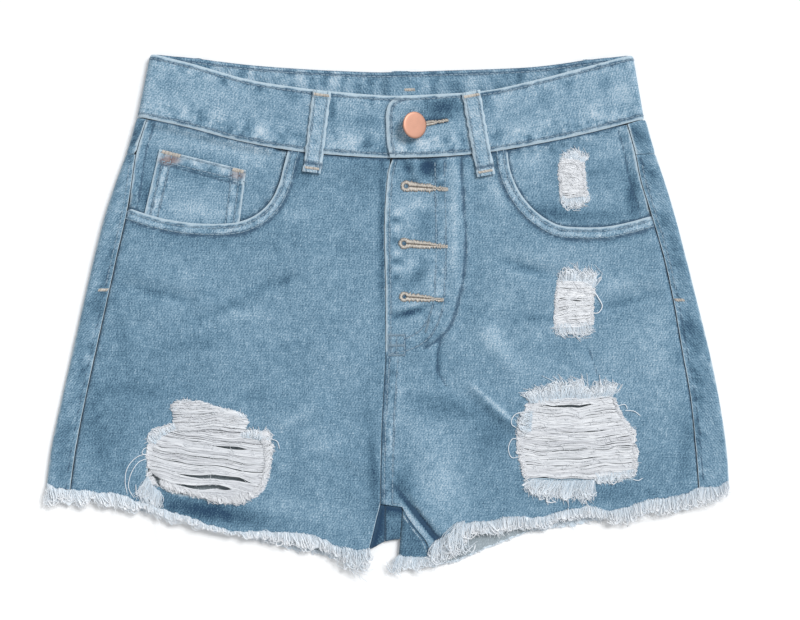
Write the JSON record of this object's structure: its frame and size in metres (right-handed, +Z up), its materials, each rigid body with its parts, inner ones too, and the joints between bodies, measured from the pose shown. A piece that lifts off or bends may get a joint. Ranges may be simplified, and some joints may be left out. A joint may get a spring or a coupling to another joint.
{
  "type": "denim shorts",
  "caption": "Button-fly denim shorts with ripped fronts, a coin pocket, belt loops and frayed hems, laid flat with the front up.",
  "frame": {"origin": "middle of the bounding box, at the surface that the shorts lie on", "axes": "+X to the wearer's left, which is the longest extent, +Y up the body to the waist, +Z up out of the surface, with the front of the shorts up"},
  "size_m": [0.465, 0.355, 0.0203],
  "materials": {
    "washed_denim": "light blue washed cotton twill",
    "cotton_thread": "unspun white cotton yarn",
    "plated_copper": "rose copper plate, satin"
  },
  "bodies": {
    "root": {"waistband": "washed_denim", "front_right": "washed_denim", "front_left": "washed_denim", "yoke_right": "washed_denim", "yoke_left": "washed_denim", "back_right": "washed_denim", "back_left": "washed_denim", "back_pocket_right": "washed_denim", "back_pocket_left": "washed_denim", "pocket_facing_right": "washed_denim", "pocket_facing_left": "washed_denim", "coin_pocket": "washed_denim", "belt_loop_front_right": "washed_denim", "belt_loop_front_left": "washed_denim", "belt_loop_back_right": "washed_denim", "belt_loop_back_middle": "washed_denim", "belt_loop_back_left": "washed_denim", "button": "plated_copper", "rip_threads_thigh_right": "cotton_thread", "rip_threads_thigh_left": "cotton_thread", "rip_threads_hip": "cotton_thread", "rip_threads_pocket": "cotton_thread", "fringe_front_right_outer": "cotton_thread", "fringe_front_right_inner": "cotton_thread", "fringe_front_left_inner": "cotton_thread", "fringe_front_left_outer": "cotton_thread", "fringe_back_right": "cotton_thread", "fringe_back_left": "cotton_thread", "fringe_leg_fold": "cotton_thread"}
  },
  "joints": []
}
